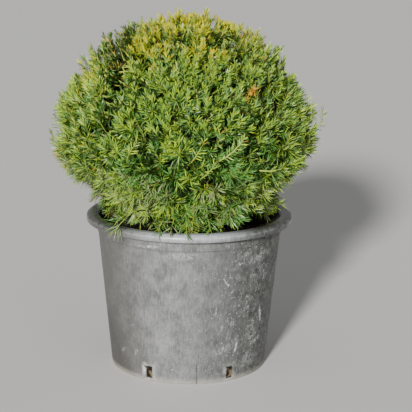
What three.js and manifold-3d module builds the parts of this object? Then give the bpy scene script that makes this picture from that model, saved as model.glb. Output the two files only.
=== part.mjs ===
// A yew clipped to a ball, growing in a round nursery pot. Millimetres, +Z up.
// The origin is the middle of the pot's flat underside, and -Y is the front.
// A short trunk stands on the compost, hidden under the crown. Its boughs run out through the bare
// inside of the ball to seven masses of foliage: one on top, and six round the sides that hang as a
// skirt into the pot. Each mass is a core that twigs and toothed sprays of needles stand out of.
import * as THREE from "three";
import { ConvexGeometry } from "three/addons/geometries/ConvexGeometry.js";
import { mergeVertices } from "three/addons/utils/BufferGeometryUtils.js";
import Module from "manifold-3d";

const wasm = await Module();
wasm.setup();

const clearance = 0.3; // between pieces that rest on or grow out of each other
const weld = 1e-3; // corners nearer than this are one corner
const weldPasses = 3;
const deg = Math.PI / 180;
const goldenAngle = Math.PI * (3 - Math.sqrt(5));
const up = new THREE.Vector3(0, 0, 1);

const pot = {
  height: 280,
  baseRadius: 140,
  footRounding: 4,
  neckRadius: 164, // of the tapering wall, where it meets the shoulder band
  shoulderHeight: 246, // a slightly wider band runs round from here to the rim
  shoulderStep: 1.6,
  rimRadius: 185,
  rimThickness: 5,
  rimRounding: 4,
  rimSlope: 8, // the width over which the rim's top falls to its rounded edge
  lipDrop: 13, // of the lip that turns down at the rim's edge
  lipWall: 2.6,
  wall: 2.8,
  floor: 4,
  facets: 48,
};
const slot = { count: 6, width: 13, height: 22, foot: 6, turn: 1.65 }; // drain slots, low in the wall
const compost = { top: 247, mound: 3, edge: 40 };
const trunk = {
  x: 3,
  height: 68,
  lean: { x: -7, y: 2 },
  footRadius: 13,
  tipRadius: 9.5,
  flare: 11,
  flareHeight: 9,
  ribs: 5,
  ribDepth: 0.25,
  sides: 10,
  steps: 7,
};
const bough = {
  rootRadius: 6.4,
  tipRadius: 4.2,
  lowest: 0.4, // shares of the trunk's height at which the boughs leave it, by turns
  highest: 0.66,
  arch: 0.12,
  stop: 9, // how far short of its mass's core a bough ends
  sides: 6,
  steps: 5,
};

// The crown's clipped outline, measured from its heart.
const heart = new THREE.Vector3(-8, 0, 418);
const crown = {
  radius: 238,
  rise: 223, // from the heart to the top
  fall: 158, // how far down the ball would close, were there no skirt
  skirtRadius: 182, // of the foliage that hangs straight down over the pot's mouth
  skirtFoot: 133, // from the heart down to just over the rim
  plugRadius: 168, // of the foliage inside the mouth
  plugFoot: 158, // from the heart down to the lowest foliage, clear of the compost
};
// Waves over the surface: how deep, how many round, how many up, and where they start.
const waves = [
  { depth: 5, round: 0, tall: 7, start: 90 * deg },
  { depth: 4, round: 3, tall: 2, start: 20 * deg },
  { depth: 5, round: 7, tall: 9, start: 120 * deg },
  { depth: 4, round: 11, tall: 4, start: 200 * deg },
];
const notch = { azimuth: 95, elevation: -22, width: 9, depth: 24 }; // over the rim on the right
// The masses meet along lines of azimuth from the front, and along one ring round the top mass.
const seams = { first: -31, round: 6, top: 55, foot: -57, gap: 3 };
const core = { outer: 0.905, inner: 0.63, across: 30, down: 20, innerAcross: 18, innerDown: 12 };
const shoot = {
  count: 264, // over the whole ball, set out like the seeds of a sunflower
  sink: 8, // of the twig's tip, where the spray begins, under the core's surface
  twigRadius: 2.6,
  tipRadius: 1.4,
  rise: 0.3, // how far the growth turns up on the ball, and down on what hangs
  hang: 0.45,
  hangBelow: -0.35,
  lean: 1.1, // how far the sprays turn aside, as a share of how far they stand out
  leanSpread: 0.5,
  turns: 6,
};
const spray = {
  length: 56,
  width: 25,
  thickness: 3.2,
  teeth: 2,
  notch: 0.32, // a notch's depth from the rib, as a share of a tooth's
  sweep: 0.1, // how far a tooth points forward, as a share of the length
  clip: 0.03, // how unevenly the tips are clipped
};

const materials = {
  pot: new THREE.MeshStandardMaterial({ color: 0x7c7f7d, roughness: 0.55, metalness: 0 }),
  compost: new THREE.MeshStandardMaterial({ color: 0x2b1f17, roughness: 1, metalness: 0 }),
  bark: new THREE.MeshStandardMaterial({ color: 0x6d4a36, roughness: 0.9, metalness: 0 }),
  foliage: new THREE.MeshStandardMaterial({ color: 0x55752b, roughness: 0.65, metalness: 0 }),
};

// The same share from 0 to 1 every time for a given item and purpose.
function chance(item, purpose) {
  const wave = Math.sin(item * 12.9898 + purpose * 78.233) * 43758.5453;
  return wave - Math.floor(wave);
}

// The faces left once corners are welded: none that has become flat, and none back to back on another.
function weldedFaces(merged) {
  const alike = new Map();
  const listOf = (key) => alike.get(key) ?? alike.set(key, []).get(key);
  for (let i = 0; i < merged.index.count; i += 3) {
    const face = [0, 1, 2].map((corner) => merged.index.getX(i + corner));
    if (new Set(face).size < 3) continue;
    while (face[0] !== Math.min(...face)) face.push(face.shift());
    const [first, second, third] = face;
    const backToBack = listOf(`${first} ${third} ${second}`);
    if (backToBack.length) backToBack.pop();
    else listOf(face.join(" ")).push(face);
  }
  return new Uint32Array([...alike.values()].flat(2));
}

function toSolid(geometry) {
  geometry.deleteAttribute("normal");
  geometry.deleteAttribute("uv");
  const merged = mergeVertices(geometry, weld);
  const vertProperties = new Float32Array(merged.attributes.position.array);
  return new wasm.Manifold(new wasm.Mesh({ numProp: 3, vertProperties, triVerts: weldedFaces(merged) }));
}

function toGeometry(solid) {
  const mesh = solid.getMesh();
  return new THREE.BufferGeometry()
    .setAttribute("position", new THREE.BufferAttribute(mesh.vertProperties, 3))
    .setIndex(new THREE.BufferAttribute(mesh.triVerts, 1));
}

// One body without loose scraps, and with the hollows that fusing sealed filled. A hollow that only
// touches the outside comes loose when the corners are welded again.
function oneBody(solid) {
  let body = solid;
  for (let pass = 0; pass < weldPasses; pass++) {
    const bodies = toSolid(toGeometry(body)).decompose();
    body = bodies.reduce((most, other) => (other.volume() > most.volume() ? other : most));
  }
  return body;
}

function named(name, geometry, material) {
  const mesh = new THREE.Mesh(geometry, material);
  mesh.name = name;
  return mesh;
}

// A profile of [radius, height] pairs turned round +Z. It starts and ends on the axis.
function turned(profile, facets) {
  const points = profile.map(([radius, height]) => new THREE.Vector2(radius, height));
  return new THREE.LatheGeometry(points, facets).rotateX(90 * deg);
}

// A limb of round section along a curve. radiusAt gives the radius by share of its length and angle.
function limb(curve, radiusAt, sides, steps) {
  const geometry = new THREE.CylinderGeometry(1, 1, 1, sides, steps);
  const frames = curve.computeFrenetFrames(steps, false);
  const place = geometry.attributes.position;
  for (let i = 0; i < place.count; i++) {
    const step = Math.round((place.getY(i) + 0.5) * steps);
    const angle = Math.atan2(place.getX(i), place.getZ(i));
    const middle = Math.hypot(place.getX(i), place.getZ(i)) < 0.5; // of an end face
    const radius = middle ? 0 : radiusAt(step / steps, angle);
    const point = curve
      .getPointAt(step / steps)
      .addScaledVector(frames.normals[step], radius * Math.cos(angle))
      .addScaledVector(frames.binormals[step], radius * Math.sin(angle));
    place.setXYZ(i, point.x, point.y, point.z);
  }
  return geometry;
}

// The way from the heart at an azimuth from the front, towards +X, and an elevation.
function wayAt(azimuth, elevation) {
  return new THREE.Vector3(
    Math.sin(azimuth * deg) * Math.cos(elevation * deg),
    -Math.cos(azimuth * deg) * Math.cos(elevation * deg),
    Math.sin(elevation * deg),
  );
}

// How far the clipped surface lies from the heart along a way: an ellipsoid, or the skirt or the plug
// under it where one stands out further, with the waves and the notch.
function crownRadius(way) {
  const level = Math.hypot(way.x, way.y);
  const height = way.z > 0 ? crown.rise : crown.fall;
  const ball = 1 / Math.hypot(level / crown.radius, way.z / height);
  const drop = Math.max(-way.z, 0);
  const skirt = drop && Math.min(crown.skirtRadius / level, crown.skirtFoot / drop);
  const plug = drop && Math.min(crown.plugRadius / level, crown.plugFoot / drop);
  const azimuth = Math.atan2(way.x, -way.y);
  const elevation = Math.asin(THREE.MathUtils.clamp(way.z, -1, 1));
  let wavy = 0;
  for (const wave of waves) {
    wavy += wave.depth * Math.sin(wave.round * azimuth + wave.start) * Math.cos(wave.tall * elevation);
  }
  const away = way.angleTo(wayAt(notch.azimuth, notch.elevation)) / (notch.width * deg);
  return Math.max(ball, skirt, plug) + wavy * level - notch.depth * Math.exp(-away * away);
}

function onCrown(way, share, sink = 0) {
  return heart.clone().addScaledVector(way, share * crownRadius(way) - sink);
}

// The clipped surface shrunk towards the heart.
function crownBody(share, across, down) {
  const geometry = new THREE.SphereGeometry(1, across, down).rotateX(90 * deg);
  const place = geometry.attributes.position;
  for (let i = 0; i < place.count; i++) {
    const way = new THREE.Vector3().fromBufferAttribute(place, i).normalize();
    const point = onCrown(way, share);
    place.setXYZ(i, point.x, point.y, point.z);
  }
  return toSolid(geometry);
}

// A mass has the space between planes that all pass through the heart, one along each side.
function makeSpace(name, corners) {
  const middle = corners.reduce((sum, way) => sum.add(way), new THREE.Vector3()).normalize();
  const inward = corners.map((way, i) => {
    const normal = way.clone().cross(corners[(i + 1) % corners.length]).normalize();
    return normal.dot(middle) < 0 ? normal.negate() : normal;
  });
  return { name, corners, middle, inward };
}

function makeSpaces() {
  const turn = 360 / seams.round;
  const seamAt = (i, elevation) => wayAt(seams.first + i * turn, elevation);
  const round = Array.from({ length: seams.round }, (_, i) => i);
  const side = (i) => [
    seamAt(i, seams.top),
    seamAt(i + 1, seams.top),
    seamAt(i + 1, seams.foot),
    seamAt(i, seams.foot),
  ];
  return [
    makeSpace("top", round.map((i) => seamAt(i, seams.top))),
    ...round.map((i) => makeSpace(`side_${i + 1}`, side(i))),
  ];
}

function staysInside(space, point, girth) {
  const offset = point.clone().sub(heart);
  const potWall = pot.neckRadius - pot.wall - clearance - girth;
  const overPot = Math.hypot(point.x, point.y) > potWall && point.z < pot.height + clearance + girth;
  return !overPot && space.inward.every((normal) => normal.dot(offset) > seams.gap / 2 + girth);
}

// The space as a pyramid from near the heart, held clear of its neighbours by half the gap.
function spaceBody(space) {
  const share = Math.min(...space.inward.map((normal) => normal.dot(space.middle)));
  const tip = heart.clone().addScaledVector(space.middle, seams.gap / 2 / share);
  const far = space.corners.map((way) => tip.clone().addScaledVector(way, 3 * crown.radius));
  return toSolid(new ConvexGeometry([tip, ...far]));
}

// The way to each shoot, spread evenly over the ball.
function shootWay(number) {
  const height = 1 - (2 * (number + 0.5)) / shoot.count;
  const level = Math.sqrt(1 - height * height);
  const turn = number * goldenAngle;
  return new THREE.Vector3(level * Math.cos(turn), level * Math.sin(turn), height);
}

// Shoots rise on the ball and hang on the skirt.
function growthWay(way) {
  const lift = way.z > shoot.hangBelow ? shoot.rise : -shoot.hang;
  return way.clone().addScaledVector(up, lift).normalize();
}

// A blade from root to tip, flat across flatWay: a shallow double cone whose rim is drawn out into
// teeth on both sides.
function sprayBlade(root, tip, flatWay) {
  const length = root.distanceTo(tip);
  const along = tip.clone().sub(root).normalize();
  const across = along.clone().cross(flatWay).normalize();
  const thick = along.clone().cross(across);
  const half = 2 * spray.teeth + 1; // corners from the tip to the root, down one side
  const geometry = new THREE.SphereGeometry(1, 2 * half, 2).rotateX(90 * deg);
  const place = geometry.attributes.position;
  for (let i = 0; i < place.count; i++) {
    const pole = Math.abs(place.getZ(i)) > 0.5;
    const order = Math.round((Math.atan2(place.getY(i), place.getX(i)) / Math.PI) * half);
    const rank = Math.abs(order);
    const tooth = rank % 2 === 0;
    const onRib = pole || rank % half === 0;
    const bow = Math.sqrt(Math.sin((rank / half) * Math.PI));
    const reach = (spray.width / 2) * (tooth ? 1 : spray.notch) * bow;
    const forward = pole ? 0.5 : 1 - rank / half + (tooth && !onRib ? spray.sweep : 0);
    const point = root
      .clone()
      .addScaledVector(along, forward * length)
      .addScaledVector(across, onRib ? 0 : Math.sign(order) * reach)
      .addScaledVector(thick, pole ? (Math.sign(place.getZ(i)) * spray.thickness) / 2 : 0);
    place.setXYZ(i, point.x, point.y, point.z);
  }
  return geometry;
}

// A spray from a root along a way, ending at the clipped surface. Null if it would leave the space.
function sprayFrom(space, root, aim, flatWay, number) {
  const tip = root.clone().addScaledVector(aim, spray.length);
  const tipWay = tip.clone().sub(heart).normalize();
  const limit = crownRadius(tipWay) * (1 - spray.clip * chance(number, 2));
  if (tip.distanceTo(heart) > limit) tip.copy(heart).addScaledVector(tipWay, limit);
  const blade = sprayBlade(root, tip, flatWay);
  const place = blade.attributes.position;
  for (let i = 0; i < place.count; i++) {
    if (!staysInside(space, new THREE.Vector3().fromBufferAttribute(place, i), clearance)) return null;
  }
  return toSolid(blade);
}

// One shoot: a twig from the mass's hub to just under the core's surface, and the spray it bears,
// turned to the first side on which that stays in the mass's space. A shoot that finds none is skipped.
function shootSolids(space, hub, number) {
  const way = shootWay(number);
  const node = onCrown(way, core.outer, shoot.sink);
  if (!staysInside(space, node, shoot.tipRadius)) return [];
  const growth = growthWay(way);
  const across = up.clone().cross(growth).normalize();
  const along = growth.clone().cross(across);
  const taper = (share) => THREE.MathUtils.lerp(shoot.twigRadius, shoot.tipRadius, share);
  const twig = toSolid(limb(new THREE.LineCurve3(hub, node), taper, 3, 1));
  const lean = shoot.lean + shoot.leanSpread * (chance(number, 1) - 0.5);
  for (let i = 0; i < shoot.turns; i++) {
    const turn = (chance(number, 3) + i / shoot.turns) * 2 * Math.PI;
    const side = across.clone().multiplyScalar(Math.cos(turn)).addScaledVector(along, Math.sin(turn));
    const aim = growth.clone().addScaledVector(side, lean).normalize();
    const flatWay = growth.clone().multiplyScalar(lean).sub(side);
    const made = sprayFrom(space, node, aim, flatWay, number);
    if (made) return [twig, made];
  }
  return [];
}

function makePot() {
  const top = pot.height;
  const shoulder = pot.neckRadius + pot.shoulderStep;
  const inner = pot.neckRadius - pot.wall;
  const body = turned(
    [
      [0, 0],
      [pot.baseRadius - pot.footRounding, 0],
      [pot.baseRadius, pot.footRounding],
      [pot.neckRadius, pot.shoulderHeight],
      [shoulder, pot.shoulderHeight + pot.shoulderStep],
      [shoulder + pot.shoulderStep, top - pot.rimThickness],
      [pot.rimRadius - pot.lipWall, top - pot.rimThickness],
      [pot.rimRadius - pot.lipWall, top - pot.lipDrop],
      [pot.rimRadius, top - pot.lipDrop],
      [pot.rimRadius, top - pot.rimRounding],
      [pot.rimRadius - pot.rimSlope, top],
      [shoulder, top],
      [inner, top - pot.rimThickness],
      [inner, pot.shoulderHeight],
      [pot.baseRadius - pot.wall, pot.floor + pot.footRounding],
      [pot.baseRadius - pot.wall - pot.footRounding, pot.floor],
      [0, pot.floor],
    ],
    pot.facets,
  );
  let solid = toSolid(body);
  for (let i = 0; i < slot.count; i++) {
    const turn = (i + 0.5) * (360 / slot.count) + slot.turn;
    const cut = new THREE.BoxGeometry(slot.width, 4 * pot.wall, slot.height)
      .translate(0, -pot.baseRadius, slot.foot + slot.height / 2)
      .rotateZ(turn * deg);
    solid = solid.subtract(toSolid(cut));
  }
  return solid;
}

// The compost fills the pot to below its rim, clear of the wall all round.
function makeCompost() {
  const low = pot.floor + pot.footRounding;
  const slope = (pot.neckRadius - pot.baseRadius) / (pot.shoulderHeight - low);
  const radiusAt = (height) => pot.baseRadius + slope * (height - low) - pot.wall - 2 * clearance;
  const edge = compost.top - compost.mound;
  return turned(
    [
      [0, pot.floor + clearance],
      [radiusAt(low) - pot.footRounding, pot.floor + clearance],
      [radiusAt(low), low],
      [radiusAt(edge), edge],
      [radiusAt(edge) - compost.edge, compost.top],
      [0, compost.top],
    ],
    pot.facets,
  );
}

const trunkFoot = new THREE.Vector3(trunk.x, 0, compost.top + clearance);
const trunkTop = trunkFoot.clone().add(new THREE.Vector3(trunk.lean.x, trunk.lean.y, trunk.height));

// grown is how much wider and taller the trunk is made, to cut the boughs clear of it.
function makeTrunk(grown) {
  const top = trunkTop.clone().addScaledVector(up, grown);
  const bend = trunkFoot.clone().addScaledVector(up, trunk.height / 2); // straight up from its flat foot
  const radiusAt = (share, angle) => {
    const fade = Math.exp((-share * trunk.height) / trunk.flareHeight);
    const rib = 1 + trunk.ribDepth * (Math.cos(trunk.ribs * angle) - 1);
    return THREE.MathUtils.lerp(trunk.footRadius, trunk.tipRadius, share) + trunk.flare * fade * rib + grown;
  };
  const curve = new THREE.QuadraticBezierCurve3(trunkFoot, bend, top);
  return limb(curve, radiusAt, trunk.sides, trunk.steps);
}

// A bough leaves the trunk and ends square, just short of its mass's core.
function boughCurve(space, from) {
  const tip = onCrown(space.middle, core.inner, bough.stop);
  const bend = from.clone().lerp(tip, 0.5).addScaledVector(up, bough.arch * from.distanceTo(tip));
  return new THREE.QuadraticBezierCurve3(from, bend, tip);
}

function makeBough(curve) {
  const taper = (share) => THREE.MathUtils.lerp(bough.rootRadius, bough.tipRadius, share);
  return toSolid(limb(curve, taper, bough.sides, bough.steps));
}

// The mass's stem goes on from the bough's tip to a hub in the core, where all its twigs branch.
function makeMass(space, curve, shell) {
  const onward = curve.getTangentAt(1);
  const foot = curve.getPointAt(1).addScaledVector(onward, clearance);
  const hub = onCrown(space.middle, (core.inner + core.outer) / 2);
  const enter = foot.clone().addScaledVector(onward, foot.distanceTo(hub) / 2);
  const way = new THREE.QuadraticBezierCurve3(foot, enter, hub);
  const stem = limb(way, () => bough.tipRadius, bough.sides, bough.steps);
  let solid = shell.intersect(spaceBody(space)).add(toSolid(stem));
  for (let number = 0; number < shoot.count; number++) {
    for (const part of shootSolids(space, hub, number)) solid = solid.add(part);
  }
  return oneBody(solid);
}

const tree = new THREE.Group();
tree.add(named("pot", toGeometry(makePot()), materials.pot));
tree.add(named("compost", makeCompost(), materials.compost));
tree.add(named("trunk", makeTrunk(0), materials.bark));

const grownTrunk = toSolid(makeTrunk(clearance));
const shell = crownBody(core.outer, core.across, core.down).subtract(
  crownBody(core.inner, core.innerAcross, core.innerDown),
);
makeSpaces().forEach((space, i) => {
  const height = i % 2 === 0 ? bough.highest : bough.lowest;
  const from = space.name === "top" ? trunkTop : trunkFoot.clone().lerp(trunkTop, height);
  const curve = boughCurve(space, from);
  const limbSolid = oneBody(makeBough(curve).subtract(grownTrunk));
  tree.add(named(`bough_${space.name}`, toGeometry(limbSolid), materials.bark));
  tree.add(named(`foliage_${space.name}`, toGeometry(makeMass(space, curve, shell)), materials.foliage));
});

export default tree;
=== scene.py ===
# A yew clipped to a ball in a weathered grey nursery pot. Metres, +Z up, and -Y is the front.
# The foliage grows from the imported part's limbs by the part's own rule, carried on to finer shoots.
import functools
import math

import bpy
import numpy as np
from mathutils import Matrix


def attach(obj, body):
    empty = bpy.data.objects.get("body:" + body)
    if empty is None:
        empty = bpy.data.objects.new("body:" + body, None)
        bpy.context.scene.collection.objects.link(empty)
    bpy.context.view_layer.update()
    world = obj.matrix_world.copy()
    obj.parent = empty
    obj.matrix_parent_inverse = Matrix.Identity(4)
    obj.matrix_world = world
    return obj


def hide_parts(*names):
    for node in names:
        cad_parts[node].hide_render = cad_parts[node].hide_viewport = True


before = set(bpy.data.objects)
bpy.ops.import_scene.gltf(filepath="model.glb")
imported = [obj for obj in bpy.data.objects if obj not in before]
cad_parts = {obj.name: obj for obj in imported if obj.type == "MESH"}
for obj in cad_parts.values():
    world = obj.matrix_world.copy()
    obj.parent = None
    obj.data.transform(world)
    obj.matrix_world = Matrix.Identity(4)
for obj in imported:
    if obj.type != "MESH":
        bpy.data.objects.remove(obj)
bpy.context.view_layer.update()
mm = 0.001
deg = math.pi / 180
goldenAngle = math.pi * (3 - math.sqrt(5))
up = np.array([0.0, 0.0, 1.0])
masses = ["foliage_top"] + [f"foliage_side_{i + 1}" for i in range(6)]

# The crown's outline, in mm from its heart. The part has the same numbers.
heart = np.array([-8.0, 0.0, 418.0])
crown = {
    "radius": 238, "rise": 223, "fall": 158,
    "skirtRadius": 182, "skirtFoot": 133, "plugRadius": 168, "plugFoot": 158,
}
waves = [(5, 0, 7, 90), (4, 3, 2, 20), (5, 7, 9, 120), (4, 11, 4, 200)]  # depth, round, tall, start
# Places where the surface dips, or stands out where the depth is below 0: azimuth, elevation, half
# width and half height in degrees, depth in mm. The part has only the first.
hollows = [
    (95, -22, 9, 9, 24), (-40, 13, 4, 4, 16), (-45, 22, 4, 5, 38), (-49, 30, 4.5, 6, 46),
    (-54, 39, 4.5, 6, 48), (-63, 48, 5, 5, 42), (-73, 57, 5, 5, 14), (34, 38, 6, 6, -10),
    (-4, 6, 5, 8, -9), (-38, -25, 8, 6, -12), (-27, -41, 6, 4, -14), (13, 45, 5, 5, -8),
    (22, -8, 4, 4, -8), (-38, 3, 6, 5, -7), (43, 26, 5, 5, -8), (-97, 27, 9, 6, -19),
    (-102, 42, 12, 9, -12), (-115, 61, 12, 8, -15), (-106, 50, 10, 6, -16), (-92, 3, 14, 14, -8),
    (52, 66, 6, 5, 42), (8, 54, 6, 3.5, 7), (57, 40, 5, 4, 16), (21, 33, 4, 4, 14),
    (-14, -3, 4.5, 6, 20), (14, -9, 5, 4.5, 16), (-17, 8, 4, 4, 18), (-20, 0, 3, 5, 16),
    (28, -20, 5, 4, 4), (-53, -42, 10, 7, 66), (-72, -30, 7, 6, 40), (-27, -47, 12, 3, 40),
    (51, -44.5, 17, 4.5, 60), (8, -43, 24, 4, 50), (93, 13, 14, 11, -26), (101, 42, 13, 8, -28),
    (116, 57, 9, 7, -12), (84, -37, 8, 5, -16), (180, 80, 60, 14, -10), (-165, 77, 4.5, 4.5, -15),
    (142, 74, 8, 6, -9), (165, 77, 2.5, 4, 8), (-94, 17, 9, 6, -12), (140, 10, 5, 12, 24),
    (-150, 30, 4, 14, 26), (-110, -5, 6, 8, 22), (175, 50, 8, 5, 22), (126, 30, 5, 6, 20),
    (-172, -8, 6, 5, 18), (160, -30, 9, 6, 20),
]
pockets = {"depth": 17, "from": 0.4}
seams = {"first": -31, "round": 6, "top": 55, "foot": -57}
core = {"outer": 0.905, "inner": 0.63}
bough = {"root": 6.4, "tip": 4.2, "lowest": 0.4, "highest": 0.66, "arch": 0.12, "stop": 9}
potShape = {
    "height": 280, "mouth": 150, "slots": 6, "slotRadius": 141, "slotWidth": 13,
    "slotFoot": 6, "slotHead": 28, "slotTurn": 1.65, "between": 44,
}
trunkFoot = np.array([3.0, 0.0, 247.3])
trunkTop = np.array([-4.0, 2.0, 315.3])
trunkShape = {"foot": 13, "taper": 3.5, "height": 68, "bend": 34, "flare": 11, "flareHeight": 9}
stemShape = {"foot": 4.1, "tip": 3.0, "rings": 16}


def linear(hexColour):
    # sRGB hex to linear light: each channel raised to 2.4 above the toe.
    parts = [int(hexColour[i : i + 2], 16) / 255 for i in (1, 3, 5)]
    return tuple(c / 12.92 if c < 0.04045 else ((c + 0.055) / 1.055) ** 2.4 for c in parts) + (1.0,)


def chance(item, purpose):
    # The part's own hash: the fraction of a large multiple of a sine, the same for item and purpose.
    wave = np.sin(np.asarray(item, float) * 12.9898 + purpose * 78.233) * 43758.5453
    return wave - np.floor(wave)


def unit(v):
    return v / np.maximum(np.linalg.norm(v, axis=-1, keepdims=True), 1e-9)


def fullTurn(count):
    # Even angles round a full turn.
    return np.arange(count) * 2 * math.pi / count


def wayAt(azimuth, elevation):
    # Unit way from the heart at an azimuth from the front, towards +X, and an elevation.
    a, e = np.broadcast_arrays(np.asarray(azimuth) * deg, np.asarray(elevation) * deg)
    return np.stack([np.sin(a) * np.cos(e), -np.cos(a) * np.cos(e), np.sin(e)], -1)


def bearings(ways):
    # Each way's azimuth and elevation in radians, and the length of its level part.
    x, y, z = np.moveaxis(ways, -1, 0)
    return np.arctan2(x, -y), np.arcsin(np.clip(z, -1, 1)), np.hypot(x, y)


def dips(ways):
    # How deep the hollows are along each way: a bell round each hollow's middle, summed.
    azimuth, elevation, level = bearings(ways)
    depth = np.zeros(ways.shape[:-1])
    for a, e, wide, high, deep in hollows:
        aside = (azimuth - a * deg + math.pi) % (2 * math.pi) - math.pi
        away = (aside * level / (wide * deg)) ** 2 + ((elevation - e * deg) / (high * deg)) ** 2
        depth = depth + deep * np.exp(-away)
    # Small pockets between the tufts: the peaks of two pairs of crossed waves.
    x, y, z = np.moveaxis(ways, -1, 0)
    crossed = np.sin(22 * x + 9 * z + 1.0) * np.sin(23 * y - 8 * x + 0.5)
    crossed = crossed + np.sin(24 * z - 7 * y + 2.2) * np.sin(13 * x + 17 * y)
    return depth + pockets["depth"] * np.clip((crossed - pockets["from"]) / (1 - pockets["from"]), 0, 1)


def crownRadius(ways):
    # Distance to the clipped surface: ellipsoid, or skirt or plug where further, plus waves, less dips.
    azimuth, elevation, level = bearings(ways)
    z, level = ways[..., 2], np.maximum(level, 1e-6)
    drop = np.maximum(-z, 1e-6)
    ball = 1 / np.hypot(level / crown["radius"], z / np.where(z > 0, crown["rise"], crown["fall"]))
    skirt = np.minimum(crown["skirtRadius"] / level, crown["skirtFoot"] / drop) * (z < 0)
    plug = np.minimum(crown["plugRadius"] / level, crown["plugFoot"] / drop) * (z < 0)
    radius = np.maximum(np.maximum(ball, skirt), plug) - dips(ways)
    for depth, around, tall, start in waves:
        radius = radius + depth * np.sin(around * azimuth + start * deg) * np.cos(tall * elevation) * level
    return radius


def onCrown(ways, share, sink=0.0):
    return heart + ways * (share * crownRadius(ways) - sink)[..., None]


def evenWays(count):
    # Sunflower ways over the whole ball, as in the part: equal steps of height, golden turns.
    number = np.arange(count)
    height = 1 - 2 * (number + 0.5) / count
    level = np.sqrt(1 - height**2)
    turn = number * goldenAngle
    return np.stack([level * np.cos(turn), level * np.sin(turn), height], -1)


def bezier(a, b, c, shares):
    # Quadratic curve through a towards b to c, for arrays of ends (S, 3) and shares (P,).
    t = np.asarray(shares)[None, :, None]
    return (1 - t) ** 2 * a[:, None] + 2 * t * (1 - t) * b[:, None] + t**2 * c[:, None]


def putObject(name, data):
    made = bpy.data.objects.new(name, data)
    bpy.context.scene.collection.objects.link(made)
    return made


def buildMesh(name, points, faces, materials, faceMaterial=None, smooth=False, rides=True):
    # points in mm, faces a list of index arrays, one array for each number of corners.
    points = points.reshape(-1, 3)
    mesh = bpy.data.meshes.new(name)
    sizes = np.hstack([np.full(len(f), f.shape[1]) for f in faces])
    corners = np.hstack([f.reshape(-1) for f in faces]).astype(np.int32)
    mesh.vertices.add(len(points))
    mesh.vertices.foreach_set("co", (points * mm).astype(np.float32).reshape(-1))
    mesh.loops.add(len(corners))
    mesh.loops.foreach_set("vertex_index", corners)
    mesh.polygons.add(len(sizes))
    mesh.polygons.foreach_set("loop_start", np.hstack([0, np.cumsum(sizes)[:-1]]).astype(np.int32))
    if faceMaterial is not None:
        mesh.polygons.foreach_set("material_index", faceMaterial.astype(np.int32))
    mesh.polygons.foreach_set("use_smooth", np.full(len(sizes), smooth))
    mesh.update(calc_edges=True)
    mesh.validate()
    for material in materials:
        mesh.materials.append(material)
    piece = putObject(name, mesh)
    if rides:
        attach(piece, "root")
    return piece


def tubes(paths, radii, sides):
    # Round limbs for paths (S, P, 3) and radii (S, P) or (S, P, sides), closed at both ends.
    count, steps = paths.shape[:2]
    along = unit(np.gradient(paths, axis=1))
    overall = unit(paths[:, -1] - paths[:, 0])
    spare = np.where(np.abs(overall[:, 2:]) > 0.9, [[1.0, 0.0, 0.0]], [[0.0, 0.0, 1.0]])
    first = unit(np.cross(spare, overall))[:, None]
    first = unit(first - along * np.sum(first * along, -1, keepdims=True))
    second = np.cross(along, first)
    angle = fullTurn(sides)
    around = first[:, :, None] * np.cos(angle)[:, None] + second[:, :, None] * np.sin(angle)[:, None]
    radii = radii if radii.ndim == 3 else radii[..., None]
    points = paths[:, :, None] + around * radii[..., None]
    ring = (np.arange(count)[:, None, None] * steps + np.arange(steps - 1)[:, None]) * sides
    side, following = np.arange(sides), (np.arange(sides) + 1) % sides
    quads = np.stack([ring + side, ring + following, ring + sides + following, ring + sides + side], -1)
    starts = np.arange(count)[:, None] * steps * sides
    caps = np.vstack([starts + side[::-1], starts + (steps - 1) * sides + side])
    return points, quads.reshape(-1, 4), caps


def turned(profile, angles):
    # A profile of radius and height turned round the axis from -Y: points (R, A, 3), quads and two caps.
    r, z = profile[:, :1], profile[:, 1:]
    points = np.stack([r * np.sin(angles), -r * np.cos(angles), z + 0 * angles], -1)
    rows, columns = points.shape[:2]
    i, j = np.indices((rows - 1, columns))
    here, beside = i * columns + j, i * columns + (j + 1) % columns
    quads = np.stack([here, beside, beside + columns, here + columns], -1)
    caps = np.array([np.arange(columns)[::-1], (rows - 1) * columns + np.arange(columns)])
    return points, quads, caps


def add(tree, kind, inputs=(), operation=None, stops=None, span=(), out=0, **settings):
    # One shader node. Its inputs, by name or in their order, take constants or other nodes' sockets. Stops
    # fill a colour ramp. A span is a range's two ends, and then what they become if not 0 and 1.
    made = tree.nodes.new("ShaderNode" + kind)
    if operation:
        made.operation = operation
    for key, value in settings.items():
        setattr(made, key, value)
    given = dict(inputs if isinstance(inputs, dict) else enumerate(inputs))
    given.update(zip(("From Min", "From Max", "To Min", "To Max"), span))
    for key, value in given.items():
        if isinstance(value, bpy.types.NodeSocket):
            tree.links.new(value, made.inputs[key])
        else:
            made.inputs[key].default_value = value
    if stops:
        elements = made.color_ramp.elements
        while len(elements) < len(stops):
            elements.new(0.5)
        for element, (position, colour) in zip(elements, stops):
            element.position, element.color = position, linear(colour)
    return made.outputs[out] if len(made.outputs) else None


def newMaterial(name, shade):
    # A material that looks as the function shade says. Shade gets the function that adds a node.
    material = bpy.data.materials.new(name)
    material.use_nodes = True
    material.node_tree.nodes.clear()
    node = functools.partial(add, material.node_tree)
    node("OutputMaterial", {"Surface": node("BsdfPrincipled", shade(node))})
    return material


print("scene: rules and helpers ready")

# Limbs: trunk, boughs, stems and twigs. The mesh of trunk and boughs has the relief of flaking bark.
limbLook = {
    "barkDark": "#4a3226", "barkMid": "#7a5442", "barkPale": "#a98a72",
    "twig": "#43382a", "twigGreen": "#a3b545",
    "reliefMm": 0.9, "sides": 28, "rings": 64,
}


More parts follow.
